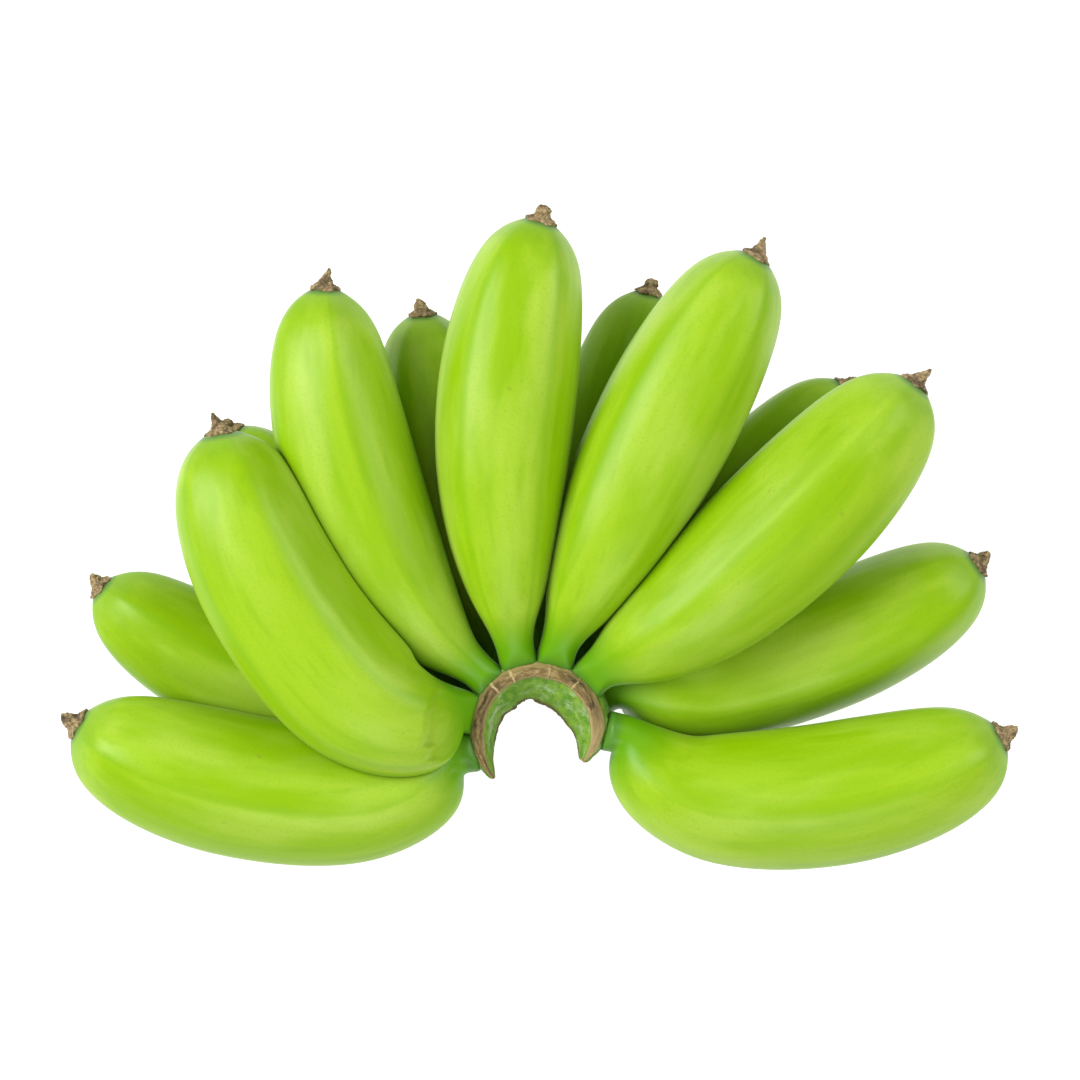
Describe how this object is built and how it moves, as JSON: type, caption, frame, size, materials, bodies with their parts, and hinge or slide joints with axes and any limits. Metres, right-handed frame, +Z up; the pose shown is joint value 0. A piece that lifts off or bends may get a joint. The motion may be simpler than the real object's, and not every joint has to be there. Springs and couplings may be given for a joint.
{
  "type": "bunch of bananas",
  "caption": "Hand of plump green bananas in two rows on a crescent-shaped crown, each ending in its dried flower, lying on its back.",
  "frame": {"origin": "on the surface that the hand lies on, at the middle of its footprint", "axes": "+Z up from the surface; +X along the hand's spread, from its left end to its right; +Y from the crown's mouth towards the middle fingers' tips"},
  "size_m": [0.251, 0.1738, 0.0697],
  "materials": {
    "peel": "fresh green peel, satin and waxy, with soft lighter and darker bands along it and darker necks",
    "crown": "green stalk skin with whitish marks, and a rough brown corky scar along its top edge",
    "dried_flower": "dry brown fibres, matt and rough"
  },
  "bodies": {
    "root": {"crown": "crown", "finger_front_1": "peel", "finger_back_1": "peel", "finger_front_2": "peel", "finger_back_2": "peel", "finger_front_3": "peel", "finger_back_3": "peel", "finger_front_4": "peel", "finger_back_4": "peel", "finger_front_5": "peel", "finger_back_5": "peel", "finger_front_6": "peel", "finger_back_6": "peel", "finger_front_7": "peel", "flower_front_1": "dried_flower", "flower_back_1": "dried_flower", "flower_front_2": "dried_flower", "flower_back_2": "dried_flower", "flower_front_3": "dried_flower", "flower_back_3": "dried_flower", "flower_front_4": "dried_flower", "flower_back_4": "dried_flower", "flower_front_5": "dried_flower", "flower_back_5": "dried_flower", "flower_front_6": "dried_flower", "flower_back_6": "dried_flower", "flower_front_7": "dried_flower"}
  },
  "joints": []
}
